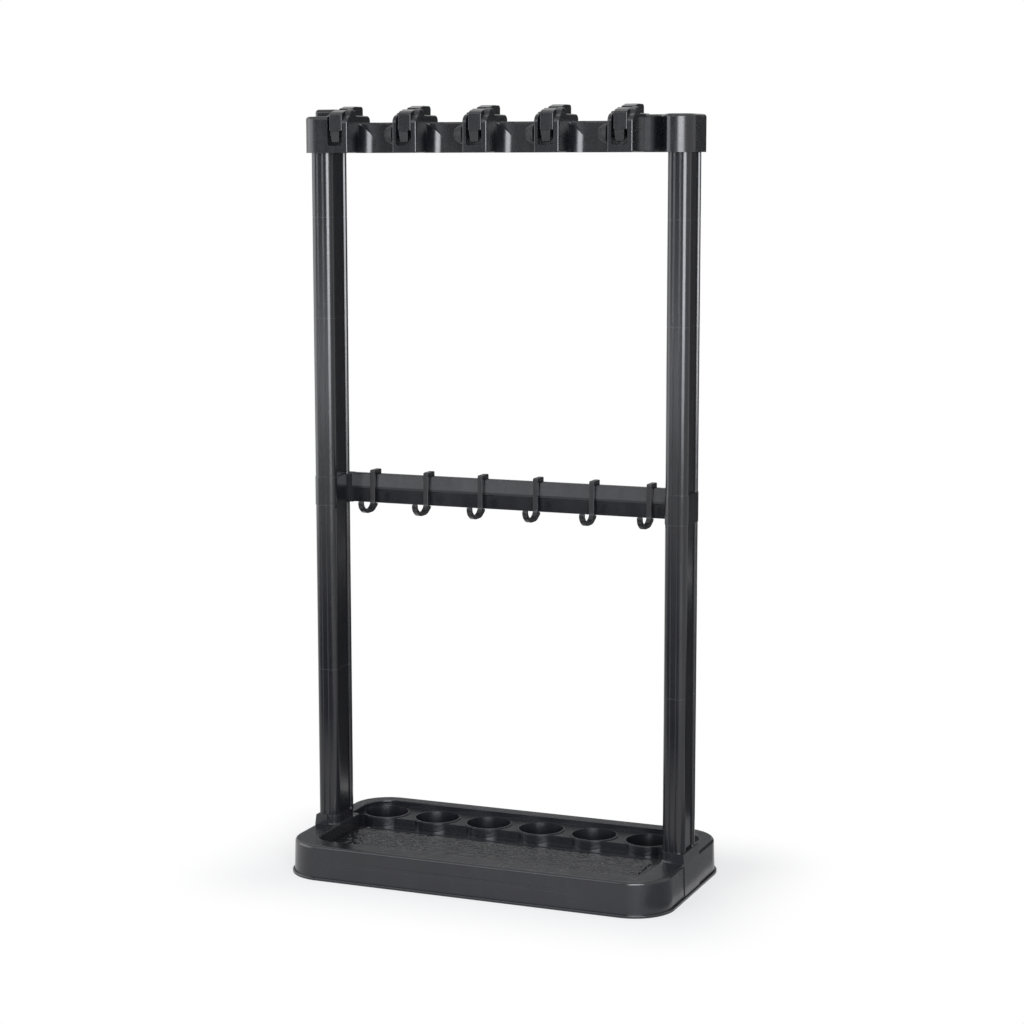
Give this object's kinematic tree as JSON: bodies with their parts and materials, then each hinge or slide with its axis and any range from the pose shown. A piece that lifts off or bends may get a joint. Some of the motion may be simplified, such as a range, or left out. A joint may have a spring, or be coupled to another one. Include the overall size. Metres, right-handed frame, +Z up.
{
  "type": "freestanding garden tool rack",
  "caption": "Freestanding rack for long garden tools: base tray with handle cups, fluted posts, a mid rail with sliding hooks and a top bar of lever clamps that push grip pads sideways.",
  "frame": {"origin": "middle of the base's footprint, on the floor", "axes": "+X along the rack to the right seen from the front, +Y to the back, +Z up"},
  "size_m": [0.598, 0.311, 1.1288],
  "materials": {
    "base_plastic": "satin moulded, stone grain on the tray floor",
    "post_plastic": "satin extruded with fine lengthwise lines",
    "bar_plastic": "satin moulded",
    "clip_plastic": "satin moulded, slightly duller",
    "pad_rubber": "satin, fine grain",
    "pin_steel": "drawn wire"
  },
  "bodies": {
    "rack": {"base_tray": "base_plastic", "foot_post_left": "post_plastic", "foot_post_right": "post_plastic", "lower_post_left": "post_plastic", "lower_post_right": "post_plastic", "upper_post_left": "post_plastic", "upper_post_right": "post_plastic", "short_post_left": "post_plastic", "short_post_right": "post_plastic", "top_post_left": "post_plastic", "top_post_right": "post_plastic", "mid_collar_left": "post_plastic", "mid_collar_right": "post_plastic", "mid_rail": "post_plastic", "top_bar": "bar_plastic", "hinge_pin_1": "pin_steel", "hinge_pin_2": "pin_steel", "hinge_pin_3": "pin_steel", "hinge_pin_4": "pin_steel", "hinge_pin_5": "pin_steel"},
    "lever_1": {"clamp_lever_1": "clip_plastic"},
    "lever_2": {"clamp_lever_2": "clip_plastic"},
    "lever_3": {"clamp_lever_3": "clip_plastic"},
    "lever_4": {"clamp_lever_4": "clip_plastic"},
    "lever_5": {"clamp_lever_5": "clip_plastic"},
    "pad_2": {"grip_pad_2": "pad_rubber"},
    "pad_3": {"grip_pad_3": "pad_rubber"},
    "pad_4": {"grip_pad_4": "pad_rubber"},
    "pad_5": {"grip_pad_5": "pad_rubber"},
    "hook_1": {"hook_1": "clip_plastic"},
    "hook_2": {"hook_2": "clip_plastic"},
    "hook_3": {"hook_3": "clip_plastic"},
    "hook_4": {"hook_4": "clip_plastic"},
    "hook_5": {"hook_5": "clip_plastic"},
    "hook_6": {"hook_6": "clip_plastic"}
  },
  "joints": [
    {"name": "lever_1_flip", "type": "hinge", "parent": "rack", "child": "lever_1", "pos_m": [-0.2417, -0.032, 1.1124], "axis": [-1, 0, 0], "range_deg": [0, 75]},
    {"name": "lever_2_flip", "type": "hinge", "parent": "rack", "child": "lever_2", "pos_m": [-0.1322, -0.032, 1.1124], "axis": [-1, 0, 0], "range_deg": [0, 75]},
    {"name": "lever_3_flip", "type": "hinge", "parent": "rack", "child": "lever_3", "pos_m": [-0.0227, -0.032, 1.1124], "axis": [-1, 0, 0], "range_deg": [0, 75]},
    {"name": "lever_4_flip", "type": "hinge", "parent": "rack", "child": "lever_4", "pos_m": [0.0868, -0.032, 1.1124], "axis": [-1, 0, 0], "range_deg": [0, 75]},
    {"name": "lever_5_flip", "type": "hinge", "parent": "rack", "child": "lever_5", "pos_m": [0.1963, -0.032, 1.1124], "axis": [-1, 0, 0], "range_deg": [0, 75]},
    {"name": "pad_2_slide", "type": "slide", "parent": "rack", "child": "pad_2", "axis": [1, 0, 0], "range_m": [0, 0.003]},
    {"name": "pad_3_slide", "type": "slide", "parent": "rack", "child": "pad_3", "axis": [1, 0, 0], "range_m": [0, 0.003]},
    {"name": "pad_4_slide", "type": "slide", "parent": "rack", "child": "pad_4", "axis": [1, 0, 0], "range_m": [0, 0.003]},
    {"name": "pad_5_slide", "type": "slide", "parent": "rack", "child": "pad_5", "axis": [1, 0, 0], "range_m": [0, 0.003]},
    {"name": "hook_1_slide", "type": "slide", "parent": "rack", "child": "hook_1", "axis": [1, 0, 0], "range_m": [-0.0314, 0.0395]},
    {"name": "hook_2_slide", "type": "slide", "parent": "rack", "child": "hook_2", "axis": [1, 0, 0], "range_m": [-0.0395, 0.0395]},
    {"name": "hook_3_slide", "type": "slide", "parent": "rack", "child": "hook_3", "axis": [1, 0, 0], "range_m": [-0.0395, 0.0395]},
    {"name": "hook_4_slide", "type": "slide", "parent": "rack", "child": "hook_4", "axis": [1, 0, 0], "range_m": [-0.0395, 0.0395]},
    {"name": "hook_5_slide", "type": "slide", "parent": "rack", "child": "hook_5", "axis": [1, 0, 0], "range_m": [-0.0395, 0.0395]},
    {"name": "hook_6_slide", "type": "slide", "parent": "rack", "child": "hook_6", "axis": [1, 0, 0], "range_m": [-0.0395, 0.0264]}
  ],
  "couplings": [
    {"joint": "pad_2_slide", "follows": "lever_2_flip", "m_per_rad": 0.0022918},
    {"joint": "pad_3_slide", "follows": "lever_3_flip", "m_per_rad": 0.0022918},
    {"joint": "pad_4_slide", "follows": "lever_4_flip", "m_per_rad": 0.0022918},
    {"joint": "pad_5_slide", "follows": "lever_5_flip", "m_per_rad": 0.0022918}
  ]
}
